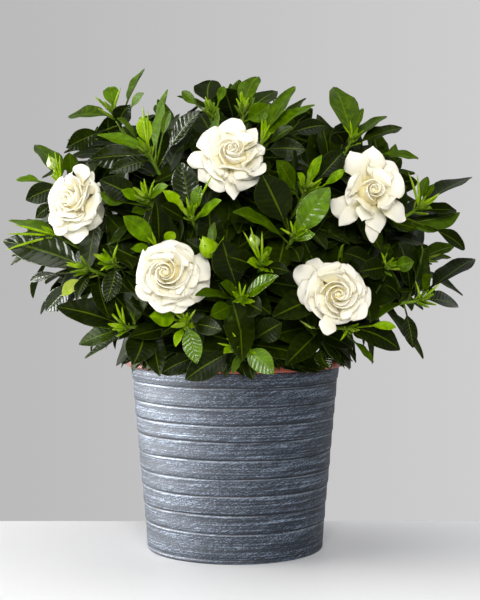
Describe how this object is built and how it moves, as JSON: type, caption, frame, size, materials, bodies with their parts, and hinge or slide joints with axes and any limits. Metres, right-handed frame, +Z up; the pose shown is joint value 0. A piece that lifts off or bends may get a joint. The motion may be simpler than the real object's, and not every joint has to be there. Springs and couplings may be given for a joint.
{
  "type": "potted gardenia",
  "caption": "Flowering gardenia shrub: a round crown of glossy leaves with double white blooms, in a plastic grow pot that hangs in a ridged, tapered zinc pot",
  "frame": {"origin": "Centre of the zinc pot's flat underside, on the surface that the pot stands on", "axes": "+Z up along the pot's axis, -Y towards the viewer of the picture, +X to the viewer's right"},
  "size_m": [0.4364, 0.3962, 0.4526],
  "materials": {
    "zinc": "satin",
    "plastic": "satin",
    "soil": "matte",
    "bark": "matte",
    "leaf": "satin",
    "petal": "matte"
  },
  "bodies": {
    "root": {"zinc_pot": "zinc", "grow_pot": "plastic", "soil": "soil", "woody_stem": "bark", "bloom_left": "petal", "bloom_top": "petal", "bloom_centre": "petal", "bloom_right_low": "petal", "bloom_right_high": "petal", "bloom_left_stalk": "leaf", "bloom_top_stalk": "leaf", "bloom_centre_stalk": "leaf", "bloom_right_low_stalk": "leaf", "bloom_right_high_stalk": "leaf", "shoot_crown_left": "leaf", "shoot_upper_left": "leaf", "shoot_left_high": "leaf", "shoot_far_left": "leaf", "shoot_left_low": "leaf", "shoot_centre_left": "leaf", "shoot_low_left": "leaf", "shoot_middle_left": "leaf", "shoot_inner_left": "leaf", "shoot_centre_high": "leaf", "shoot_top_centre": "leaf", "shoot_top_right": "leaf", "shoot_upper_right": "leaf", "shoot_crown_right": "leaf", "shoot_far_right": "leaf", "shoot_right_low": "leaf", "shoot_low_right": "leaf", "shoot_centre_right": "leaf", "shoot_inner_right": "leaf", "shoot_centre": "leaf", "shoot_centre_bud": "leaf", "shoot_round_bud": "leaf", "shoot_below_bloom": "leaf", "shoot_front_low": "leaf", "shoot_right_middle": "leaf", "shoot_side_right": "leaf", "shoot_side_right_low": "leaf", "shoot_side_left": "leaf", "shoot_side_left_low": "leaf", "shoot_back_right": "leaf", "shoot_back_right_high": "leaf", "shoot_back_right_mid": "leaf", "shoot_back_low": "leaf", "shoot_back_high": "leaf", "shoot_back_mid": "leaf", "shoot_back_left_high": "leaf", "shoot_back_left": "leaf", "shoot_back_left_mid": "leaf", "shoot_top_back_right": "leaf", "shoot_top_back_left": "leaf", "shoot_top_middle": "leaf"}
  },
  "joints": []
}
